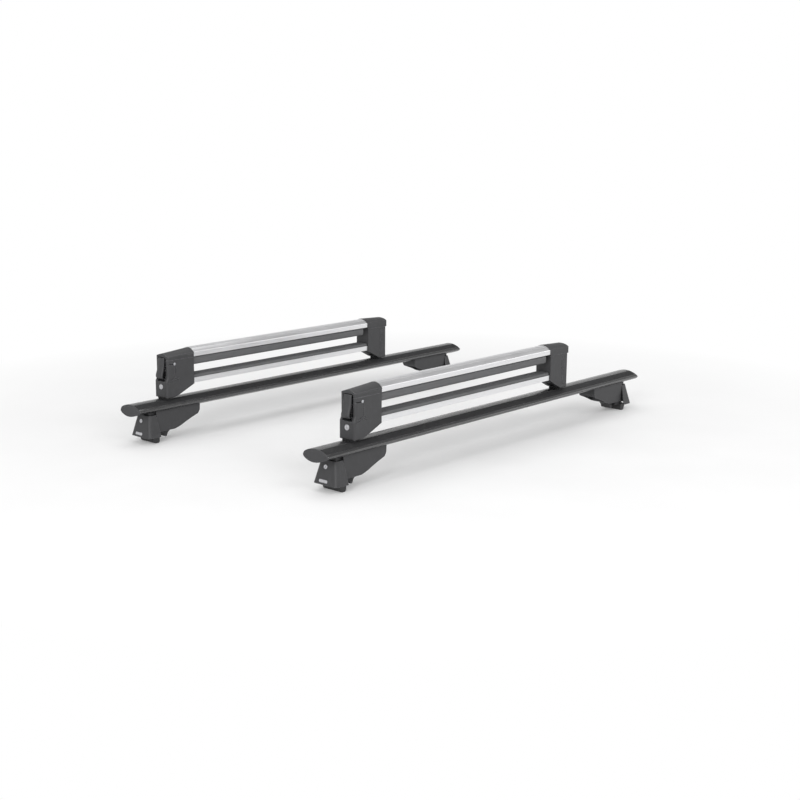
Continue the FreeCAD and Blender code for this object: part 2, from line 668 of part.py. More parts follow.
def make_hinge_cap():
    """Moulded cap on the hinge end of the upper arm, with the two outer knuckles of the hinge."""
    half = CARRIER_WIDTH / 2 + 0.6
    x0 = HINGE_START - 4
    x1 = CARRIER_LENGTH + KNUCKLE_R
    low = HINGE_CAP_BOTTOM
    body = sloping_dome(half, low, (HINGE_EDGE, HINGE_CROWN), (TAIL_EDGE, TAIL_CROWN), x0, x1)
    outline = [
        (x0, low), (HINGE_PIN_X, low), (HINGE_PIN_X, HINGE_PIN_Z), (x1, HINGE_PIN_Z),
        (x1, TAIL_CROWN + 0.1), (x0, HINGE_CROWN + 0.1),
    ]
    side = round_prism(outline, [0, 0, 0, 0, 9, 0], "xz", -40, 40)
    plan = round_prism([(x0, -half), (x1, -half), (x1, half), (x0, half)], [1, 4, 4, 1], "xy", 90, 140)
    knuckle = rod(KNUCKLE_R, (HINGE_PIN_X, -half, HINGE_PIN_Z), (HINGE_PIN_X, half, HINGE_PIN_Z))
    body = fused(body.common(side), knuckle).common(plan)
    pin = HINGE_PIN_R + RUN
    clear = EAR_HALF + GAP
    cuts = [
        box(x0 - 1, HINGE_START, -40, 40, low - 1, ARM_BOTTOM),
        dome(ARM_HALF, ARM_BOTTOM, ARM_EDGE, ARM_CROWN, x0 - 1, HINGE_START + 2),
        box(HINGE_START + 6, 868, -22, 22, low - 1, 112),
        rod(pin, (HINGE_PIN_X, -24, HINGE_PIN_Z), (HINGE_PIN_X, 24, HINGE_PIN_Z)),
        box(CARRIER_LENGTH - 7.6, CARRIER_LENGTH + 9, -clear, clear, low - 3, HINGE_PIN_Z + 0.5),
        rod(KNUCKLE_R + GAP, (HINGE_PIN_X, -clear, HINGE_PIN_Z), (HINGE_PIN_X, clear, HINGE_PIN_Z)),
    ]
    body = less(body, *cuts)
    tongue = arm_hollow(HINGE_START - 26, HINGE_START + 3, 0.1)
    return fused(body, tongue)


def cross_pin(radius, x, z, short):
    """Pin across a housing, each end a little short of the housing's side."""
    end = CARRIER_WIDTH / 2 - short
    return rod(radius, (x, -end, z), (x, end, z))


def make_foot(x):
    """Saddle between a housing and the crossbar, shaped to the bar's top."""
    low = BAR_MID_Z + 4 - CARRIER_Z
    block = box(x - FOOT_HALF_X, x + FOOT_HALF_X, -FOOT_HALF_Y, FOOT_HALF_Y, low, 0)
    bar = bar_solid(x - 20, x + 20).translated(V(0, 0, -CARRIER_Z))
    hole = rod(BOLT_R + 0.25, (x, 0, -30), (x, 0, 1))
    return less(block, bar, hole)


def make_t_bolt(x):
    """T-bolt from the bar's slot up into a housing."""
    roof = BAR_MID_Z + BAR_TOP - SLOT_LIP - CARRIER_Z
    head = box(x - 5, x + 5, -9.5, 9.5, roof - 4.5, roof)
    return fused(head, rod(BOLT_R, (x, 0, roof - 1), (x, 0, 12.5)))


def make_t_nut(x):
    """Flanged nut on a T-bolt, tightened through the pocket in the housing."""
    body = fused(rod(6.8, (x, 0, 4), (x, 0, 5.4)), hexagon(10, x, 0, 5, 10.4))
    return less(body, rod(BOLT_R, (x, 0, 0), (x, 0, 20)))


def make_arm_screw(x):
    """Screw through a housing into the lower arm."""
    head = rod(4.4, (x, 0, SCREW_SEAT - 3), (x, 0, SCREW_SEAT))
    return fused(head, rod(SCREW_R, (x, 0, SCREW_SEAT - 1), (x, 0, 35)))


def build_carriers():
    """Both carriers; fixings that repeat share a node."""
    own = {
        "latch_post": make_latch_post(),
        "hinge_post": make_hinge_post(),
        "lower_arm": make_lower_arm(),
        "lower_pad": make_lower_pad(),
        "upper_arm": make_upper_arm(),
        "upper_pad": make_upper_pad(),
        "latch_cap": make_latch_cap(),
        "striker": make_striker(),
        "hinge_cap": make_hinge_cap(),
        "latch_button": make_button(),
        "button_spring": make_button_spring(),
        "lock_barrel": make_lock_barrel(),
    }
    shared = {
        "button_pins": [cross_pin(BUTTON_PIN_R, BUTTON_PIN_X, BUTTON_PIN_Z, 0.6)],
        "hinge_pins": [cross_pin(HINGE_PIN_R, HINGE_PIN_X, HINGE_PIN_Z, 1.9)],
        "carrier_feet": [make_foot(x) for x in FOOT_X],
        "carrier_t_bolts": [make_t_bolt(x) for x in FOOT_X],
        "carrier_t_nuts": [make_t_nut(x) for x in FOOT_X],
        "lower_arm_screws": [make_arm_screw(x) for x in SCREW_X],
    }
    places = (("rear", -BAR_SPACING / 2), ("front", BAR_SPACING / 2))
    for which, y in places:
        for name, shape in own.items():
            save(which + "_" + name, in_carrier(shape, y))
    for name, shapes in shared.items():
        save(name, *[in_carrier(shape, y) for _, y in places for shape in shapes])


# ---------------------------------------------------------------- legs, drawn at the -X end, mirrored for +X
def face_x(z):
    """Outer face of a cover at a height."""
    share = (COVER_TOP_Z - z) / (COVER_TOP_Z - COVER_BOTTOM_Z)
    return COVER_TOP_X + share * (COVER_LOW_X - COVER_TOP_X)


def groove_x(z):
    """Joint line between cover and leg at a height."""
    share = (COVER_TOP_Z - z) / (COVER_TOP_Z - COVER_BOTTOM_Z)
    return GROOVE_TOP_X + share * (GROOVE_LOW_X - GROOVE_TOP_X)


def make_leg_body():
    """Moulded leg: side panels that sweep inboard under the bar, a neck inside the cover and an inner toe."""
    top = BAR_MID_Z - 4
    outline = [
        (JAW_PLATE_X[1] + 3, CHANNEL_TOP_Z), (-549, CHANNEL_TOP_Z), (-528, 35.5), (-509, 44), (-490, 51.5),
        (-467, 59.5), (-461, 69), (-459.5, top), (NECK_X, top), (NECK_X, 53.5), (JAW_PLATE_X[1] + 3, 53.5),
    ]
    radii = [0, 30, 60, 60, 60, 6, 4, 0, 0, 0, 0]
    panel = round_prism(outline, radii, "xz", -LEG_PANEL_HALF, LEG_PANEL_HALF)
    hook = [(CHANNEL_IN_X, 40), (CHANNEL_IN_X, 10), (-569.5, 10), (-566.5, 19), (-552, 32), (-552, 40)]
    toe = round_prism(hook, [0, 2, 4, 10, 0, 0], "xz", -TOE_HALF, TOE_HALF)
    whole = fused(panel, toe)
    bar = bar_solid(-700, -400)
    high = top + 1
    inboard = [(groove_x(z) + GROOVE_GAP, z) for z in (0, high)]
    beside_neck = [(-700, 0)] + inboard + [(-700, high)]
    cuts = [bar]
    for low, far in ((-60, -LEG_NECK_HALF), (LEG_NECK_HALF, 60)):
        cuts.append(prism(beside_neck, "xz", low, far))
    cuts += [
        box(-526, -466, -LEG_PANEL_HALF + 3.4, LEG_PANEL_HALF - 3.4, 20, 77),
        rod(6.8, (BAR_BOLT_X, 0, 0), (BAR_BOLT_X, 0, 62)),
        rod(BOLT_R + 0.25, (BAR_BOLT_X, 0, 60), (BAR_BOLT_X, 0, 100)),
        rod(BOLT_R + RUN, (-700, 0, CLAMP_BOLT_Z), (-585, 0, CLAMP_BOLT_Z)),
    ]
    return less(whole, *cuts)


def cover_form(wall, x_in, z_low, z_top):
    """Flared form of a cover, set in by a wall thickness, between two heights."""
    wires = []
    for z in (z_low, z_top):
        share = (COVER_TOP_Z - z) / (COVER_TOP_Z - COVER_BOTTOM_Z)
        half = COVER_TOP_HALF + share * (COVER_LOW_HALF - COVER_TOP_HALF) - wall
        x = face_x(z) + wall
        r = COVER_ROUND - wall
        wire = rounded([(x, -half), (x_in, -half), (x_in, half), (x, half)], [r, 0, 0, r])
        wires.append(wire.translated(V(0, 0, z)))
    return Part.makeLoft(wires, True, True)


def lock_seat():
    """Where a cover's lock lies on its face, and the face's outward normal."""
    normal = V(-math.cos(FACE_LEAN), 0, math.sin(FACE_LEAN))
    return V(face_x(LEG_LOCK_Z), LEG_LOCK_Y, LEG_LOCK_Z), normal


def make_leg_cover():
    """Flared end cover with a rounded wrap on both sides; it pulls off outboard."""
    outer = cover_form(0, -595, COVER_BOTTOM_Z, COVER_TOP_Z)
    inner = cover_form(COVER_WALL, -590, COVER_BOTTOM_Z - 4, COVER_TOP_Z - COVER_WALL)
    shell = less(outer, inner)
    low = COVER_BOTTOM_Z - 1
    high = COVER_TOP_Z + 1
    keep = [(-700, low), (groove_x(low), low), (groove_x(high), high), (-700, high)]
    shell = shell.common(prism(keep, "xz", -60, 60))
    neck = LEG_NECK_HALF + GAP
    shell = less(shell, box(NECK_X - GAP, -580, -neck, neck, COVER_TOP_Z - 8, COVER_TOP_Z + 5))
    seat, out = lock_seat()
    boss = Part.makeCylinder(LEG_LOCK_R + 2.2, 6.4, seat - out * 1.5, out * -1)
    bore = Part.makeCylinder(LEG_LOCK_R + RUN, 14, seat + out * 2, out * -1)
    return less(fused(shell, boss), bore)


def make_leg_lock():
    """Key barrel of a cover, square to its leaning face."""
    seat, out = lock_seat()
    front = seat + out * 0.8
    barrel = Part.makeCylinder(LEG_LOCK_R, 8.8, front, out * -1)
    slot = Part.makeBox(3.0, 1.2, 5.2, V(-1.5, -0.6, -2.6))
    slot.rotate(V(0, 0, 0), V(0, 1, 0), math.degrees(FACE_LEAN))
    return less(barrel, slot.translated(front))


def make_clamp_jaw():
    """Outer jaw: a plate on the clamp bolt and a ribbed foot that grips the rail's outer side."""
    outline = [
        (JAW_PLATE_X[0], 51), (JAW_PLATE_X[0], 12), (JAW_PLATE_X[0] + 5, 0), (-609, 0), (CHANNEL_OUT_X, 4),
        (CHANNEL_OUT_X, 24), (JAW_PLATE_X[1], 27), (JAW_PLATE_X[1], 51),
    ]
    radii = [3, 6, 3, 2, 2, 2, 4, 3]
    whole = round_prism(outline, radii, "xz", -JAW_FOOT_HALF, JAW_FOOT_HALF)
    waist = [box(-640, -600, -40, -JAW_HALF, 20, 60), box(-640, -600, JAW_HALF, 40, 20, 60)]
    ribs = [box(-640, JAW_PLATE_X[0] + 1.6, y - 1.4, y + 1.4, -1, 19) for y in range(-24, 25, 6)]
    hole = rod(BOLT_R + 0.3, (-640, 0, CLAMP_BOLT_Z), (-600, 0, CLAMP_BOLT_Z))
    return less(whole, hole, *waist, *ribs)


def make_clamp_bolt():
    """Socket-head bolt that draws the jaw inboard."""
    z = CLAMP_BOLT_Z
    start = JAW_PLATE_X[0]
    head = rod(5.0, (start - 6, 0, z), (start, 0, z))
    corners = [(2.9 * math.cos(math.pi / 3 * k), z + 2.9 * math.sin(math.pi / 3 * k)) for k in range(6)]
    socket = prism(corners, "yz", start - 7, start - 3)
    return less(fused(head, rod(BOLT_R, (start - 1, 0, z), (-590, 0, z))), socket)


def make_rail_pad():
    """Rubber pad between the leg and the top of the roof rail."""
    return box(CHANNEL_OUT_X + 1, CHANNEL_IN_X - GAP, -26, 26, RAIL_PAD_Z, CHANNEL_TOP_Z)


def make_leg_bolt():
    """T-bolt and nut that hold a leg to the bar's lower slot."""
    floor = BAR_MID_Z + BAR_LOW + LOW_LIP
    head = box(BAR_BOLT_X - 4, BAR_BOLT_X + 4, -LOW_WIDTH / 2 + 0.5, LOW_WIDTH / 2 - 0.5, floor, floor + 4)
    shank = rod(BOLT_R, (BAR_BOLT_X, 0, 52), (BAR_BOLT_X, 0, floor + 1))
    nut = hexagon(10, BAR_BOLT_X, 0, 56, 62)
    return fused(head, shank, nut)


def at_corner(shape, side, y):
    """A leg's piece under its own end of its bar."""
    turned = mirror_x(shape) if side == "right" else shape
    return turned.translated(V(0, y, 0))


def build_legs():
    """Four legs: those at +X are mirror images."""
    own = {
        "body": make_leg_body(),
        "cover": make_leg_cover(),
        "lock_barrel": make_leg_lock(),
        "clamp_jaw": make_clamp_jaw(),
        "clamp_bolt": make_clamp_bolt(),
    }
    pad = make_rail_pad()
    bolt = make_leg_bolt()
    pads = []
    bolts = []
    for row, y in (("rear", -BAR_SPACING / 2), ("front", BAR_SPACING / 2)):
        for side in ("left", "right"):
            for name, shape in own.items():
                save("%s_%s_leg_%s" % (row, side, name), at_corner(shape, side, y))
            pads.append(at_corner(pad, side, y))
            bolts.append(at_corner(bolt, side, y))
    save("rail_pads", *pads)
    save("leg_bolts", *bolts)


os.makedirs("parts", exist_ok=True)
build_bars()
build_carriers()
build_legs()
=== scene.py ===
"""Looks of the roof ski rack: materials for the CAD nodes, detailed pieces, camera, floor and light.

Everything is in metres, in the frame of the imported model: +X along the crossbars, +Y to the front, +Z up.
"""

import json
import math
import bpy
import bmesh
import numpy as np
from mathutils import Matrix, Vector


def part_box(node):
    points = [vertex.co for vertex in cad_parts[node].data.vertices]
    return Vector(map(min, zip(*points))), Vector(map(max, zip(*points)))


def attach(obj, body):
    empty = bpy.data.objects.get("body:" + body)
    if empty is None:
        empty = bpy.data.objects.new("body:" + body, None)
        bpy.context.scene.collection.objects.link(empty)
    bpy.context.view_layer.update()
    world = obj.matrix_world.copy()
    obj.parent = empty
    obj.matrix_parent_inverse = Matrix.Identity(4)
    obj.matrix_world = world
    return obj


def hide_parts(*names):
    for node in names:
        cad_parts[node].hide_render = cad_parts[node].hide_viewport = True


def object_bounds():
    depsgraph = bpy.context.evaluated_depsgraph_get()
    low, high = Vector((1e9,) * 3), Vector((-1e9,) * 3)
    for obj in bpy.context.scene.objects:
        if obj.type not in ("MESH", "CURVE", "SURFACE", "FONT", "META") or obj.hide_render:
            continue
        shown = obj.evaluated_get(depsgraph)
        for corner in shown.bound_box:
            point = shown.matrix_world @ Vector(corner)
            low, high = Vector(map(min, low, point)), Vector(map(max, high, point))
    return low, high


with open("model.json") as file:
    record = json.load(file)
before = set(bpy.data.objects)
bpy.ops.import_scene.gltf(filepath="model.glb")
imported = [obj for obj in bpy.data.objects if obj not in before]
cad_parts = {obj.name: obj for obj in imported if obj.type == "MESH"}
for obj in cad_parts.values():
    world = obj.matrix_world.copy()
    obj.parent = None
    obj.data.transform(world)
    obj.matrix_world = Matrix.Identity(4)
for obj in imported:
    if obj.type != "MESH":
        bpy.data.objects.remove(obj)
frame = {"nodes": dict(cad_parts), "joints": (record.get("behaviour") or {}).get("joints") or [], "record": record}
CAD_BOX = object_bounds()
NODES = frame["nodes"]
MM = 0.001

ROWS = ("rear", "front")
SIDES = ("left", "right")
ROW_REACH = 0.1       # a vertex nearer than this to a row's middle, along Y, belongs to that row
SAME_PLACE = 1e-5     # points closer than this along X lie in one end face
TURN_STEPS = 40       # points round a pin or a hub
LOCK_STEPS = 48       # points round a lock face or its collar
ROW_Y = {row: sum(c.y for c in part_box(row + "_upper_arm")) / 2 for row in ROWS}
JOINTS = {joint["name"]: joint for joint in frame["joints"]}


# ------------------------------------------------------------------ material helpers
class Graph:
    """Short names for building one material's node tree."""

    def __init__(self, name):
        self.material = bpy.data.materials.new(name)
        self.material.use_nodes = True
        self.tree = self.material.node_tree
        self.shader = self.tree.nodes["Principled BSDF"]
        self.coords = self.tree.nodes.new("ShaderNodeTexCoord").outputs["Object"]

    def add(self, kind, **values):
        """New node; values set its properties or its input sockets."""
        node = self.tree.nodes.new(kind)
        for key, value in values.items():
            if hasattr(node, key):
                setattr(node, key, value)
            else:
                node.inputs[key.replace("_", " ")].default_value = value
        return node

    def link(self, source, target):
        self.tree.links.new(source, target)

    def stretched(self, scale):
        """Object coordinates, scaled by a different factor along each axis."""
        node = self.add("ShaderNodeMapping")
        node.inputs["Scale"].default_value = scale
        self.link(self.coords, node.inputs["Vector"])
        return node.outputs["Vector"]

    def noise(self, scale, detail, vector=None):
        """Noise pattern; a scale of 1000 gives features about a millimetre across."""
        node = self.add("ShaderNodeTexNoise", Scale=scale, Detail=detail)
        self.link(vector or self.coords, node.inputs["Vector"])
        return node.outputs["Fac"]

    def spread(self, value, low, high, start=0.3, end=0.7):
        """Map a pattern's range to another one."""
        node = self.add("ShaderNodeMapRange")
        for socket, number in zip(node.inputs[1:5], (start, end, low, high)):
            socket.default_value = number
        self.link(value, node.inputs["Value"])
        return node.outputs["Result"]

    def mix(self, share, first, second):
        """Colour between two others, each a colour or a socket."""
        node = self.tree.nodes.new("ShaderNodeMix")
        node.data_type = "RGBA"
        self.link(share, node.inputs["Factor"])
        for socket, value in ((node.inputs["A"], first), (node.inputs["B"], second)):
            if isinstance(value, bpy.types.NodeSocket):
                self.link(value, socket)
            else:
                socket.default_value = (*value, 1)
        return node.outputs["Result"]

    def sum(self, first, second, share):
        """First pattern plus a share of the second."""
        node = self.tree.nodes.new("ShaderNodeMath")
        node.operation = "MULTIPLY_ADD"
        self.link(second, node.inputs[0])
        node.inputs[1].default_value = share
        self.link(first, node.inputs[2])
        return node.outputs["Value"]

    def product(self, first, second):
        """Two patterns multiplied."""
        node = self.add("ShaderNodeMath", operation="MULTIPLY")
        self.link(first, node.inputs[0])
        self.link(second, node.inputs[1])
        return node.outputs["Value"]

    def edges(self, radius):
        """1 along the mesh's edges, 0 on its faces, with the rounded normal that goes with it."""
        bevel = self.add("ShaderNodeBevel", samples=6, Radius=radius)
        geometry = self.add("ShaderNodeNewGeometry")
        dot = self.add("ShaderNodeVectorMath", operation="DOT_PRODUCT")
        self.link(bevel.outputs["Normal"], dot.inputs[0])
        self.link(geometry.outputs["Normal"], dot.inputs[1])
        return self.spread(dot.outputs["Value"], 1.0, 0.0, 0.86, 0.998), bevel.outputs["Normal"]

    def openness(self, reach):
        """1 on open faces, falling to 0 in grooves and inner corners."""
        node = self.add("ShaderNodeAmbientOcclusion", samples=6, Distance=reach)
        return self.spread(node.outputs["AO"], 0, 1, 0.45, 0.85)

    def bump(self, height, depth, strength, normal):
        """Bump from a pattern over a normal, with its real depth in metres."""
        node = self.add("ShaderNodeBump", Strength=strength, Distance=depth)
        self.link(height, node.inputs["Height"])
        self.link(normal, node.inputs["Normal"])
        self.link(node.outputs["Normal"], self.shader.inputs["Normal"])

    def finish(self, colour, rough, metallic=0.0, specular=0.5):
        """Wire the colour and roughness, and set what is the same all over."""
        for socket, value in (("Base Color", colour), ("Roughness", rough)):
            if isinstance(value, bpy.types.NodeSocket):
                self.link(value, self.shader.inputs[socket])
            else:
                self.shader.inputs[socket].default_value = value
        self.shader.inputs["Metallic"].default_value = metallic
        self.shader.inputs["Specular IOR Level"].default_value = specular
        return self.material


def scaled(colour, factor):
    """Colour made lighter or darker."""
    return tuple(c * factor for c in colour)


def moulded_plastic(name, colour, rough, edge_highlight_gain):
    """Spark-eroded moulded plastic: fine grain, cloudy sheen, a patchy painted highlight along its edges and
    painted shade in its grooves and inner corners.
    """
    g = Graph(name)
    grain = g.noise(1500, 3)
    cloud = g.noise(38, 3)
    scuff = g.noise(140, 5, g.stretched((1, 1, 0.35)))
    edge, rounded_normal = g.edges(0.9 * MM)
    unshaded = g.openness(3 * MM)
    base = g.mix(g.spread(cloud, 0, 1), scaled(colour, 0.88), scaled(colour, 1.14))
    base = g.mix(g.spread(scuff, 0, 0.45, 0.56, 0.72), base, scaled(colour, 1.45))
    # Painted highlight: lighter along the edges, broken into patches by noise and kept out of grooves
    patchy_edge_highlight = g.product(edge, g.spread(g.noise(220, 4), 0.35, 1.0, 0.35, 0.6))
    base = g.mix(g.product(patchy_edge_highlight, unshaded), base, scaled(colour, edge_highlight_gain))
    # Painted shade: darker in grooves and inner corners, from ambient occlusion
    base = g.mix(unshaded, scaled(colour, 0.25), base)
    g.bump(g.sum(grain, scuff, 0.15), 0.16 * MM, 0.55, rounded_normal)
    return g.finish(base, g.spread(cloud, rough - 0.06, rough + 0.07), specular=0.45)


def drawn_metal(name, colour, rough, metallic, edge_radius, edge_highlight_colour, specular=0.5):
    """Extruded and anodised metal with die lines along X, slight stains, and a painted highlight along its edges.
    """
    g = Graph(name)
    lines = g.noise(1.0, 4, g.stretched((5, 1300, 1300)))
    broad = g.noise(1.0, 2, g.stretched((1.5, 160, 160)))
    cloud = g.noise(14, 3)
    edge, rounded_normal = g.edges(edge_radius)
    base = g.mix(g.spread(lines, 0, 1), scaled(colour, 0.94), scaled(colour, 1.05))
    base = g.mix(g.spread(broad, 0, 0.35), base, scaled(colour, 0.90))
    # Painted highlight: the edge colour laid along the mesh's edges
    base = g.mix(edge, base, edge_highlight_colour)
    g.bump(g.sum(lines, g.noise(700, 2), 0.08), 0.02 * MM, 0.1, rounded_normal)
    sheen = g.spread(g.sum(cloud, lines, 0.35), rough - 0.04, rough + 0.06, 0.5, 0.9)
    return g.finish(base, sheen, metallic, specular)


def soft_rubber(name, colour, rough, bloom, specular=0.35, skin_depth=0.12 * MM):
    """Moulded or extruded rubber with a faint grey bloom, fine flow marks along X and a painted highlight along
    its edges.
    """
    g = Graph(name)
    flow = g.noise(1.0, 3, g.stretched((22, 420, 420)))
    dust = g.noise(90, 6)
    skin = g.noise(1100, 2)
    edge, rounded_normal = g.edges(0.5 * MM)
    base = g.mix(g.spread(flow, 0, 1), scaled(colour, 0.85), scaled(colour, 1.15))
    base = g.mix(g.spread(dust, 0, bloom, 0.48, 0.75), base, (0.16, 0.16, 0.155))
    # Painted highlight: lighter along the mesh's edges
    base = g.mix(g.spread(edge, 0, 0.5, 0, 1), base, scaled(colour, 1.8))
    g.bump(g.sum(skin, flow, 0.6), skin_depth, 0.5, rounded_normal)
    return g.finish(base, g.spread(dust, rough - 0.06, rough + 0.1), 0.0, specular)


def turned_metal(name, colour, rough, metallic=1.0):
    """Small plated parts: fine machining noise, soft stains and a painted highlight along their edges."""
    g = Graph(name)
    fine = g.noise(2600, 3)
    stain = g.noise(260, 4)
    edge, rounded_normal = g.edges(0.25 * MM)
    base = g.mix(g.spread(stain, 0, 1), scaled(colour, 0.82), scaled(colour, 1.06))
    # Painted highlight: lighter along the edges
    base = g.mix(edge, base, scaled(colour, 1.3))
    g.bump(fine, 0.03 * MM, 0.5, rounded_normal)
    return g.finish(base, g.spread(stain, rough - 0.05, rough + 0.12), metallic)


# The edge colours of the metals and the edge gains of the plastics below set painted highlights along the edges
MATERIALS = {
    "bar_black": drawn_metal("bar_satin_black", (0.016, 0.016, 0.017), 0.24, 0.0, 0.9 * MM,
                             (0.13, 0.13, 0.135), 1.0),
    "housing_plastic": moulded_plastic("housing_grain", (0.035, 0.035, 0.037), 0.54, 8.5),
    "anodised": drawn_metal("silver_anodised", (0.78, 0.78, 0.79), 0.34, 1.0, 0.3 * MM, (0.88, 0.88, 0.89)),
    "pad_rubber": soft_rubber("pad_soft_rubber", (0.095, 0.096, 0.099), 0.48, 0.10),
    "steel": turned_metal("zinc_plated", (0.52, 0.53, 0.55), 0.33),
    "lock_metal": turned_metal("satin_nickel", (0.55, 0.55, 0.57), 0.30),
    "leg_plastic": moulded_plastic("leg_grain", (0.032, 0.032, 0.034), 0.50, 7.0),
    "jaw_black": turned_metal("e_coat", (0.018, 0.018, 0.019), 0.42, 0.0),
    "grip_rubber": soft_rubber("grip_matt_rubber", (0.016, 0.016, 0.017), 0.72, 0.10),
    "slot_rubber": soft_rubber("slot_satin_rubber", (0.020, 0.020, 0.021), 0.28, 0.05, 0.95, 0.02 * MM),
    "foot_rubber": soft_rubber("foot_rubber", (0.010, 0.010, 0.011), 0.70, 0.05),
}
# Near-black material for the plate in the keyways: painted shade for the keyway's depth
KEY_DARK = soft_rubber("keyway_painted_shade", (0.012, 0.012, 0.012), 0.5, 0.0)

for row in frame["record"]["subparts"]:
    node = NODES[row["node"]]
    node.data.materials.clear()
    node.data.materials.append(MATERIALS[row["material_slot"]])


# ------------------------------------------------------------------ mesh helpers
def piece(name, verts, faces, body, slot, replaced=(), sharp=35, material=None):
    """New mesh piece that rides on a body, with smooth faces and sharp corners."""
    mesh = bpy.data.meshes.new(name)
    mesh.from_pydata([tuple(v) for v in verts], [], faces)
    fill = bmesh.new()
    fill.from_mesh(mesh)
    bmesh.ops.recalc_face_normals(fill, faces=fill.faces)
    fill.to_mesh(mesh)
    fill.free()
    mesh.polygons.foreach_set("use_smooth", [True] * len(mesh.polygons))
    mesh.set_sharp_from_angle(angle=math.radians(sharp))
    obj = bpy.data.objects.new(name, mesh)
    bpy.context.scene.collection.objects.link(obj)
    mesh.materials.append(material or MATERIALS[slot])
    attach(obj, body)
    if replaced:
        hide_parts(*replaced)
    return obj


def bridge(count, rings, closed_ends=True):
    """Faces between rings of the same number of points."""
    faces = []
    for r in range(rings - 1):
        a = r * count
        for i in range(count):
            j = (i + 1) % count
            faces.append((a + i, a + j, a + count + j, a + count + i))
    if closed_ends:
        last = (rings - 1) * count
        faces.append(tuple(range(count)))
        faces.append(tuple(range(last, last + count)))
    return faces


def loft(name, rings, body, slot, replaced=(), sharp=35, material=None):
    """Closed piece through rings of points."""
    verts = [p for ring in rings for p in ring]
    faces = bridge(len(rings[0]), len(rings))
    return piece(name, verts, faces, body, slot, replaced, sharp, material)


def lathe(name, profile, centre, axis, body, slot):
    """Turned piece: (radius, height) profile round an axis, heights along it from the centre."""
    turn = Vector(axis).normalized().to_track_quat("Z", "Y").to_matrix()
    rings = []
    for radius, height in profile:
        ring = []
        for k in range(TURN_STEPS):
            angle = 2 * math.pi * k / TURN_STEPS
            point = Vector((radius * math.cos(angle), radius * math.sin(angle), height))
            ring.append(Vector(centre) + turn @ point)
        rings.append(ring)
    return loft(name, rings, body, slot, sharp=30)


def extrusion(name, upper, lower, stations, body, slot, replaced=(), sharp=35):
    """Closed bar along X: upper and lower are equal lists of (y, z), from one side of it to the other."""
    ring = list(upper) + list(reversed(lower))
    rings = [[Vector((x, y, z)) for y, z in ring] for x in stations]
    verts = [p for r in rings for p in r]
    count = len(ring)
    faces = bridge(count, len(rings), closed_ends=False)
    for start in (0, count * (len(rings) - 1)):
        for i in range(len(upper) - 1):
            low = start + count - 1 - i
            faces.append((start + i, start + i + 1, low - 1, low))
    return piece(name, verts, faces, body, slot, replaced, sharp)


def hollow_extrusion(name, outer, inner, stations, body, slot, replaced=(), sharp=35):
    """Open-ended tube along X between two closed (y, z) outlines of as many points."""
    rings = [[Vector((x, y, z)) for y, z in outer] for x in stations]
    rings += [[Vector((x, y, z)) for y, z in inner] for x in reversed(stations)]
    count = len(outer)
    verts = [p for r in rings for p in r]
    faces = bridge(count, len(rings), closed_ends=False)
    last = count * (len(rings) - 1)
    for i in range(count):
        j = (i + 1) % count
        faces.append((last + i, last + j, j, i))
    return piece(name, verts, faces, body, slot, replaced, sharp)


def stations(x0, x1, step):
    """Evenly spaced x positions, ends included."""
    count = max(2, round(abs(x1 - x0) / step) + 1)
    return [x0 + (x1 - x0) * k / (count - 1) for k in range(count)]


def row_points(node, row):
    """Vertices of a CAD node's share on one row."""
    co = np.array([v.co for v in NODES[node].data.vertices])
    return co[np.abs(co[:, 1] - ROW_Y[row]) < ROW_REACH]


def cap_outline(row, side):
    """A CAD end cap's outer face: its x, and its middle and outline in (y, z), in order round it."""
    co = row_points("bar_end_caps", row)
    end = co[:, 0].max() if side == "right" else co[:, 0].min()
    points = np.unique(co[np.abs(co[:, 0] - end) < SAME_PLACE][:, 1:].round(6), axis=0)
    middle = (points.max(0) + points.min(0)) / 2
    order = np.argsort(np.arctan2(points[:, 1] - middle[1], points[:, 0] - middle[0]))
    return end, middle, points[order]


# ------------------------------------------------------------------ crossbars
def bar_top(row):
    """Function that gives the height of a bar's top surface at a y position."""
    points = cap_outline(row, "left")[2]
    tail, nose = points[points[:, 0].argmin()], points[points[:, 0].argmax()]
    chord = np.interp(points[:, 0], (tail[0], nose[0]), (tail[1], nose[1]))
    upper = points[points[:, 1] >= chord]
    upper = upper[upper[:, 0].argsort()]
    return lambda y: float(np.interp(y, upper[:, 0], upper[:, 1]))


def make_end_caps(row):
    """Moulded end caps: rounded lip, shallow dished face, and a stub inside the bar."""
    # (inset from the bar's outline, depth from the cap's outer face), millimetres
    steps = ((7.0, 0.9), (5.2, 0.8), (4.4, 0.25), (3.6, 0.0), (1.3, 0.0), (0.55, 0.25), (0.12, 0.8),
             (0.0, 1.4), (0.0, 3.0), (3.2, 3.0), (3.2, 14.0))
    for side in SIDES:
        end, middle, points = cap_outline(row, side)
        half = (points.max(0) - points.min(0)) / 2
        inward = 1 if side == "left" else -1
        rings = []
        for inset, depth in steps:
            shrink = 1 - inset * MM / half
            ring = middle + (points - middle) * shrink
            rings.append([Vector((end + inward * depth * MM, y, z)) for y, z in ring])
        loft("%s_%s_end_cap" % (row, side), rings, "rack", "leg_plastic", ("bar_end_caps",), 30)


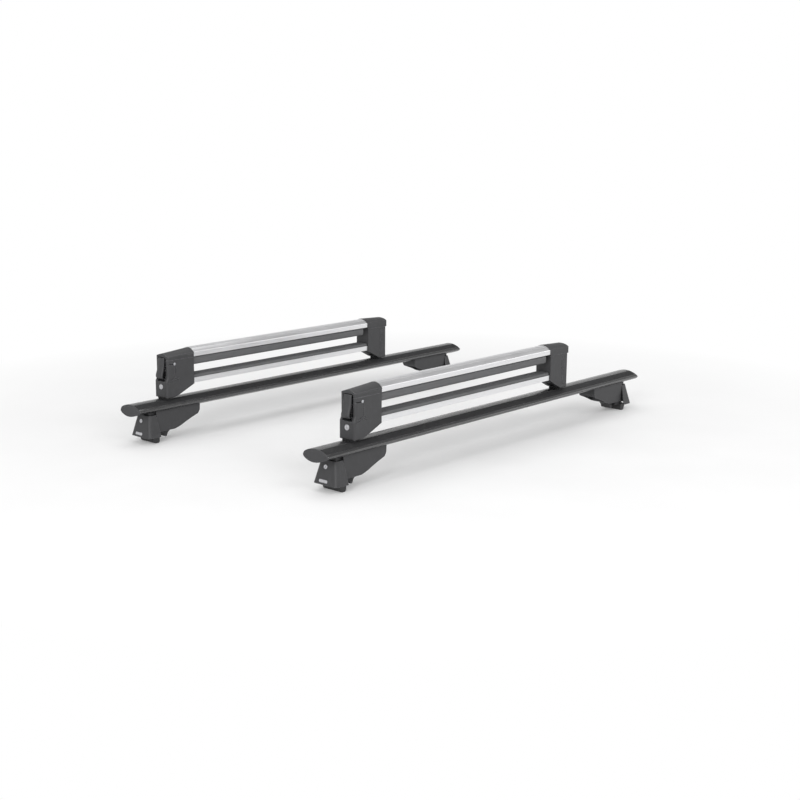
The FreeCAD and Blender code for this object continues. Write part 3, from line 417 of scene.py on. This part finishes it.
def make_grip_strip(row):
    """Rubber strip with fine ribs along the rear flank of the bar's top."""
    side_gap = 0.3 * MM
    ribs, rib_height, rib_power = 7, 0.55 * MM, 0.7
    valley, underside = 0.25 * MM, 1.4 * MM     # depths below the bar's outline
    low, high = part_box("bar_grip_strips")
    mine = row_points("bar_grip_strips", row)
    y0, y1 = mine[:, 1].min() + side_gap, mine[:, 1].max() - side_gap
    height = bar_top(row)
    count = ribs * 8 + 1
    upper, lower = [], []
    for k in range(count):
        share = k / (count - 1)
        y = y0 + (y1 - y0) * share
        fade = min(1.0, 12 * share, 12 * (1 - share))
        rib = rib_height * (0.5 - 0.5 * math.cos(2 * math.pi * ribs * share)) ** rib_power * fade
        upper.append((y, height(y) - valley + rib))
        lower.append((y, height(y) - underside))
    extrusion(row + "_grip_strip", upper, lower, stations(low.x, high.x, 0.1), "rack", "grip_rubber",
              ("bar_grip_strips",), 50)


# ------------------------------------------------------------------ pads
def bulb_outline(y0, top, low, half, ripple=0.0):
    """Closed superellipse, the outline of a soft bulb, with fine ripples underneath."""
    power, count, pitch = 4.0, 160, 3.6 * MM
    points = []
    middle, reach = (top + low) / 2, (top - low) / 2
    for k in range(count):
        t = 2 * math.pi * k / count
        c, s = math.cos(t), math.sin(t)
        y = half * math.copysign(abs(c) ** (2 / power), c)
        z = middle + reach * math.copysign(abs(s) ** (2 / power), s)
        under = max(0.0, min(1.0, (-s - 0.75) * 10))
        z += ripple * under * math.cos(2 * math.pi * y / pitch)
        points.append((y0 + y, z))
    return points


def make_upper_pad(row):
    """Hollow rubber bulb under the upper arm, with a lip along each side."""
    wall, gap, ripple = 3.0 * MM, 0.1 * MM, 0.28 * MM
    lip_inset, lip_height, lip_step = 5 * MM, 1.2 * MM, 0.5 * MM
    arm_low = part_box(row + "_upper_arm")[0].z
    low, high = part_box(row + "_upper_pad")
    half = (high.y - low.y) / 2
    top = arm_low - gap
    outer = bulb_outline(ROW_Y[row], top, low.z, half, ripple)
    inner = bulb_outline(ROW_Y[row], top - wall, low.z + wall, half - wall)
    body = row + "_upper_jaw"
    hollow_extrusion(row + "_upper_pad_bulb", outer, inner, stations(low.x, high.x, 0.04), body, "pad_rubber",
                     (row + "_upper_pad",), 40)
    for side in (-1, 1):
        y = ROW_Y[row] + side * (half - lip_inset)
        upper = [(y + k * lip_step, top + lip_height * math.cos(k * 0.5)) for k in range(-2, 3)]
        lower = [(y + k * lip_step, top - gap) for k in range(-2, 3)]
        extrusion("%s_upper_pad_lip_%s" % (row, "rear" if side < 0 else "front"), upper, lower,
                  stations(low.x, high.x, 0.1), body, "pad_rubber")


def make_lower_pad(row):
    """Rubber pad on the lower arm, with rounded ribs along it."""
    pitch, rib_height, corner, count = 4.0 * MM, 1.3 * MM, 3 * MM, 161
    low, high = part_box(row + "_lower_pad")
    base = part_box(row + "_lower_arm")[1].z
    half = (high.y - low.y) / 2
    upper, lower = [], []
    for k in range(count):
        y = -half + 2 * half * k / (count - 1)
        rim = max(0.0, abs(y) - (half - corner)) / corner
        drop = corner * (1 - math.sqrt(max(0.0, 1 - rim ** 2)))
        rib = rib_height * (0.5 + 0.5 * math.cos(2 * math.pi * y / pitch)) ** 0.6 - rib_height
        upper.append((ROW_Y[row] + y, high.z - drop + rib * (1 - rim)))
        lower.append((ROW_Y[row] + y, base))
    extrusion(row + "_lower_pad_ribbed", upper, lower, stations(low.x, high.x, 0.08), "rack", "pad_rubber",
              (row + "_lower_pad",), 60)


# ------------------------------------------------------------------ push-button, pins and locks
def rounded_ring(x_front, x_back, half, radius, z, y0, crown):
    """Plan outline of the button at one height: crowned front with rounded corners, flat back."""
    points = []
    front_steps, corner_steps = 8, 5
    for k in range(front_steps + 1):
        y = (half - radius) * (2 * (k / front_steps) - 1)
        points.append((x_front + crown * (y / half) ** 2, y))
    shoulder = x_front + crown
    for k in range(1, corner_steps + 1):
        a = math.pi / 2 * k / corner_steps
        points.append((shoulder + radius * (1 - math.cos(a)), half - radius + radius * math.sin(a)))
    points.append((x_back, half))
    points.append((x_back, -half))
    for k in range(corner_steps, 0, -1):
        a = math.pi / 2 * k / corner_steps
        points.append((shoulder + radius * (1 - math.cos(a)), -half + radius - radius * math.sin(a)))
    return [Vector((x, y0 + y, z)) for x, y in points]


def make_button(row):
    """Push-button: crowned face that swells into a thumb pad, with its hub, web and catch."""
    pin = Vector(JOINTS[row + "_button_press"]["pos_m"])
    tip_inset, corner, crown, side_gap = 1.2 * MM, 2.6 * MM, 1.6 * MM, 0.1 * MM
    hub, bore = 6.0 * MM, 3.1 * MM      # radii
    # (height from the pin, front, back), millimetres, front and back along X from the pin
    profile = ((18.2, -28.2, -22.0), (17.6, -29.3, -21.9), (15.0, -29.8, -22.0), (6.0, -30.6, -22.2),
               (-5.0, -31.8, -22.5), (-12.0, -33.2, -23.4), (-18.0, -34.9, -24.6), (-23.0, -36.8, -26.0),
               (-27.5, -38.4, -27.6), (-31.0, -39.1, -28.6), (-34.0, -39.1, -29.2), (-36.5, -37.8, -28.0),
               (-38.5, -35.2, -27.0), (-40.2, -31.4, -26.4), (-41.2, -28.0, -25.8))
    low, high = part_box(row + "_latch_button")
    half = (high.y - low.y) / 2 - side_gap
    rings = []
    for index, (height, front, back) in enumerate(profile):
        tip = tip_inset if index in (0, len(profile) - 1) else 0.0
        rings.append(rounded_ring(pin.x + front * MM, pin.x + back * MM, half - tip, corner,
                                  pin.z + height * MM, pin.y, crown))
    body = row + "_button"
    plate = loft(row + "_button_face", rings, body, "housing_plastic", (row + "_latch_button",), 40)
    smooth = plate.modifiers.new("smooth", "SUBSURF")
    smooth.levels = smooth.render_levels = 1
    lathe(row + "_button_hub", ((bore, -half), (hub, -half), (hub, half), (bore, half)), pin, (0, 1, 0),
          body, "housing_plastic")
    # The middle of the web stops higher: the spring's top stands under it, between the two sides
    # (part, its two y, its underside), millimetres from the pin
    parts = (("rear", -8.0, -4.6, -6.0), ("seat", -4.6, 4.6, -3.2), ("front", 4.6, 8.0, -6.0))
    for part, y0, y1, under in parts:
        web = [(-23.0, under), (-3.0, under), (-3.0, 5.6), (-23.0, 7.2)]
        rings = [[pin + Vector((x, y, z)) * MM for x, z in web] for y in (y0, y1)]
        loft("%s_button_web_%s" % (row, part), rings, body, "housing_plastic")
    catch = [(-6.0, 1.0), (-0.1, 1.0), (-0.1, 13.5), (1.7, 13.5), (-0.1, 17.0), (-5.0, 17.0)]
    rings = [[Vector((pin.x + x * MM, pin.y + y, pin.z + z * MM)) for x, z in catch]
             for y in (-8 * MM, 8 * MM)]
    loft(row + "_button_catch", rings, body, "housing_plastic")


def slot_ring(turn, centre, height, length, width, steps):
    """Outline of a straight-sided slot, with as many points as a turned ring."""
    ring = []
    for k in range(steps):
        angle = 2 * math.pi * k / steps
        c, s = math.cos(angle), math.sin(angle)
        reach = 1 / max(abs(c) / (width / 2), abs(s) / (length / 2))
        ring.append(Vector(centre) + turn @ Vector((reach * c, reach * s, height)))
    return ring


def make_lock(name, centre, axis, radius, depth, body, replaced):
    """Key barrel: turned face with a stepped rim, a shallow keyway and a near-black plate in it as painted shade
    for a deep keyway.
    """
    key_width, keyway_shade_width = 1.5 * MM, 1.3 * MM
    # Local z is the barrel's axis, local x lies along Y, and local y runs along the keyway
    out = Vector(axis).normalized()
    across = Vector((0, 1, 0))
    turn = Matrix((across, out.cross(across), out)).transposed()
    key = radius * 0.86
    profile = ((radius, -depth), (radius, 0.1 * MM), (radius - 0.15 * MM, 0.4 * MM),
               (radius - 0.45 * MM, 0.6 * MM), (radius * 0.80, 0.6 * MM), (radius * 0.76, 0.3 * MM),
               (radius * 0.60, 0.3 * MM), (radius * 0.58, 0.5 * MM), (radius * 0.54, 0.5 * MM))
    rings = []
    for r, height in profile:
        ring = []
        for k in range(LOCK_STEPS):
            angle = 2 * math.pi * k / LOCK_STEPS
            ring.append(Vector(centre) + turn @ Vector((r * math.cos(angle), r * math.sin(angle), height)))
        rings.append(ring)
    for height in (0.5 * MM, -1.4 * MM):
        rings.append(slot_ring(turn, centre, height, key, key_width, LOCK_STEPS))
    loft(name, rings, body, "lock_metal", replaced, 30)
    # Painted shade: a near-black plate near the keyway's bottom stands in for the shade inside a deep keyway
    keyway_shade = [slot_ring(turn, centre, height, key * 0.97, keyway_shade_width, 24)
               for height in (-1.3 * MM, -0.7 * MM)]
    loft(name + "_shutter", keyway_shade, body, "jaw_black", material=KEY_DARK)


def make_carrier_lock(row):
    """Carrier lock: barrel, cam and the collar round it."""
    radius, cam_room = 7.35 * MM, 4.2 * MM
    joint = JOINTS[row + "_lock_turn"]
    centre, axis = Vector(joint["pos_m"]), Vector(joint["axis"])
    body = row + "_lock"
    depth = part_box(row + "_lock_barrel")[1].x - centre.x
    make_lock(row + "_lock_face", centre, axis, radius, depth - cam_room, body, (row + "_lock_barrel",))
    cam = [(0, -4), (0, 4), (-12, 4), (-15.5, 2.2), (-16, 0), (-15.5, -2.2), (-12, -4)]
    rings = [[centre + Vector((x, y * MM, z * MM)) for y, z in cam]
             for x in (depth - 3.8 * MM, depth - 0.4 * MM)]
    loft(row + "_lock_cam", rings, body, "lock_metal")
    collar = ((8.0 * MM, -0.4 * MM), (7.6 * MM, 0.25 * MM), (8.0 * MM, 0.5 * MM), (8.8 * MM, 0.45 * MM),
              (9.3 * MM, 0.0), (9.3 * MM, -0.4 * MM))
    ring_piece(row + "_lock_collar", collar, centre, axis, "rack", "housing_plastic")


def ring_piece(name, profile, centre, axis, body, slot):
    """Turned ring: a closed (radius, height) section round an axis."""
    turn = Vector(axis).normalized().to_track_quat("Z", "Y").to_matrix()
    verts, faces = [], []
    count = len(profile)
    for k in range(LOCK_STEPS):
        angle = 2 * math.pi * k / LOCK_STEPS
        for radius, height in profile:
            point = Vector((radius * math.cos(angle), radius * math.sin(angle), height))
            verts.append(Vector(centre) + turn @ point)
    for k in range(LOCK_STEPS):
        a, b = k * count, (k + 1) % LOCK_STEPS * count
        for i in range(count):
            j = (i + 1) % count
            faces.append((a + i, b + i, b + j, a + j))
    return piece(name, verts, faces, body, slot, (), 40)


def make_pin_ends(row):
    """Domed ends of the button's pin, one on each side of the latch housing."""
    sunk = 1.2 * MM
    dome = ((3.9 * MM, 0.0), (3.9 * MM, 0.4 * MM), (3.6 * MM, 0.8 * MM), (2.6 * MM, 1.15 * MM),
            (1.2 * MM, 1.35 * MM), (0.3 * MM, 1.4 * MM))
    button = Vector(JOINTS[row + "_button_press"]["pos_m"])
    low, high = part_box(row + "_latch_post")
    for side, y, name in ((-1, low.y, "rear"), (1, high.y, "front")):
        start = Vector((button.x, y - side * sunk, button.z))
        lathe("%s_pin_end_%s" % (row, name), dome, start, (0, side, 0), "rack", "steel")


# ------------------------------------------------------------------ legs
def make_leg_details(leg):
    """Lock face, its collar and a blank plate on a leg's cover."""
    lock_radius, lock_depth = 5.5 * MM, 7.8 * MM
    plate_drop, plate_shift = 35, 1.5       # from the lock, millimetres
    half_width, half_height, corner = 13.5, 3.8, 2.2
    joint = JOINTS[leg + "_cover_lock_turn"]
    centre, out = Vector(joint["pos_m"]), Vector(joint["axis"]).normalized()
    make_lock(leg + "_leg_lock_face", centre, out, lock_radius, lock_depth, leg + "_cover_lock",
              (leg + "_leg_lock_barrel",))
    collar = ((6.0 * MM, -0.4 * MM), (5.7 * MM, 0.3 * MM), (6.2 * MM, 0.55 * MM), (7.0 * MM, 0.4 * MM),
              (7.3 * MM, -0.1 * MM), (7.3 * MM, -0.4 * MM))
    ring_piece(leg + "_leg_lock_collar", collar, centre, out, leg + "_cover", "leg_plastic")
    across = Vector((0, 1, 0))
    down = across.cross(out)
    if down.z > 0:
        down = -down
    middle = centre + down * plate_drop * MM + across * plate_shift * MM
    rings = []
    for inset, height in ((0.0, -0.3), (0.0, 0.45), (0.35, 0.8), (1.2, 0.8), (1.5, 0.55), (1.9, 0.55)):
        ring = []
        wide, tall, radius = half_width - inset, half_height - inset, corner - inset * 0.8
        for cy, cz, first in ((1, 1, 0), (-1, 1, 1), (-1, -1, 2), (1, -1, 3)):
            for k in range(6):
                angle = math.pi / 2 * (first + k / 5)
                y = cy * (wide - radius) + radius * math.cos(angle)
                z = cz * (tall - radius) + radius * math.sin(angle)
                ring.append(middle + across * y * MM - down * z * MM + out * height * MM)
        rings.append(ring)
    loft(leg + "_leg_plate", rings, leg + "_cover", "lock_metal")


for row in ROWS:
    make_end_caps(row)
    make_grip_strip(row)
    make_upper_pad(row)
    make_lower_pad(row)
    make_button(row)
    make_carrier_lock(row)
    make_pin_ends(row)
    for side in SIDES:
        make_leg_details(row + "_" + side)


# ------------------------------------------------------------------ floor, light and camera
HORIZON = (1.0, 1.0, 1.0)
# (height of the direction, brightness) of the surroundings above the horizon
SKY = ((0.12, 1.0), (0.30, 0.78), (0.50, 0.56), (0.80, 0.38))
FLOOR_RADIUS = 60
FLOOR_GAP = 0.0005          # between the rack's lowest point and the floor
FADE_START, FADE_END = 0.5, 1.7     # distances from the middle between which the floor fades out
CAMERA_PLACE = (-2.7996, -2.4751, 0.8780)
CAMERA_ANGLES = (48.71, -12.19, 0.43)   # yaw from +Y towards +X, pitch and roll, degrees
CAMERA_LENS, SENSOR_WIDTH = 59.54, 36   # millimetres


def make_world():
    """Pale studio surroundings: a bright horizon under a darker ceiling."""
    world = bpy.data.worlds.new("studio")
    bpy.context.scene.world = world
    world.use_nodes = True
    tree = world.node_tree
    background = tree.nodes["Background"]
    coords = tree.nodes.new("ShaderNodeTexCoord")
    parts = tree.nodes.new("ShaderNodeSeparateXYZ")
    ramp = tree.nodes.new("ShaderNodeValToRGB")
    stops = ramp.color_ramp.elements
    while len(stops) < len(SKY):
        stops.new(0.5)
    for stop, (height, level) in zip(stops, SKY):
        stop.position = height
        stop.color = (level, level, level, 1)
    tree.links.new(coords.outputs["Generated"], parts.inputs["Vector"])
    tree.links.new(parts.outputs["Z"], ramp.inputs["Fac"])
    tree.links.new(ramp.outputs["Color"], background.inputs["Color"])


def make_floor():
    """Wide pale floor that fades into the surroundings far from the rack."""
    mesh = bpy.data.meshes.new("floor")
    disc = bmesh.new()
    bmesh.ops.create_circle(disc, cap_ends=True, radius=FLOOR_RADIUS, segments=96)
    disc.to_mesh(mesh)
    disc.free()
    floor = bpy.data.objects.new("floor", mesh)
    floor.location.z = CAD_BOX[0].z - FLOOR_GAP
    bpy.context.scene.collection.objects.link(floor)
    g = Graph("pale_floor")
    cloud = g.noise(3, 3)
    base = g.mix(g.spread(cloud, 0, 1), (0.83, 0.83, 0.83), (0.87, 0.87, 0.87))
    g.finish(base, 0.65, 0.0, 0.3)
    glow = g.add("ShaderNodeEmission")
    glow.inputs["Color"].default_value = (*HORIZON, 1)
    blend = g.add("ShaderNodeMixShader")
    distance = g.add("ShaderNodeVectorMath", operation="LENGTH")
    g.link(g.coords, distance.inputs[0])
    g.link(g.spread(distance.outputs["Value"], 0, 1, FADE_START, FADE_END), blend.inputs["Fac"])
    g.link(g.shader.outputs["BSDF"], blend.inputs[1])
    g.link(glow.outputs["Emission"], blend.inputs[2])
    g.link(blend.outputs["Shader"], g.tree.nodes["Material Output"].inputs["Surface"])
    mesh.materials.append(g.material)


def area_light(name, place, target, size, power):
    """Soft square light that faces a point."""
    data = bpy.data.lights.new(name, "AREA")
    data.size = size
    data.energy = power
    light = bpy.data.objects.new(name, data)
    light.location = place
    light.rotation_mode = "QUATERNION"
    light.rotation_quaternion = (Vector(target) - Vector(place)).to_track_quat("-Z", "Y")
    bpy.context.scene.collection.objects.link(light)


def make_camera():
    """Camera at the rack's left rear, a little above it."""
    yaw, pitch, roll = (math.radians(a) for a in CAMERA_ANGLES)
    ahead = Vector((math.sin(yaw) * math.cos(pitch), math.cos(yaw) * math.cos(pitch), math.sin(pitch)))
    level = Vector((math.cos(yaw), -math.sin(yaw), 0))
    upright = level.cross(ahead)
    right = level * math.cos(roll) + upright * math.sin(roll)
    up = upright * math.cos(roll) - level * math.sin(roll)
    data = bpy.data.cameras.new("camera")
    data.lens = CAMERA_LENS
    data.sensor_width = SENSOR_WIDTH
    camera = bpy.data.objects.new("camera", data)
    camera.rotation_mode = "QUATERNION"
    camera.rotation_quaternion = Matrix((right, up, -ahead)).transposed().to_quaternion()
    camera.location = CAMERA_PLACE
    bpy.context.scene.collection.objects.link(camera)
    bpy.context.scene.camera = camera


make_world()
make_floor()
area_light("top", (0.2, 0.6, 3.6), (0, 0, 0), 3.2, 50)
area_light("key", (-0.4, -3.4, 2.6), (0, 0, 0.1), 1.8, 40)
area_light("side", (3.4, -2.7, 1.8), (0, -0.35, 0.1), 2.2, 22)
area_light("fill", (-3.6, -1.6, 2.0), (0, 0, 0.1), 1.4, 72)
make_camera()
bpy.context.scene.view_settings.view_transform = "Standard"
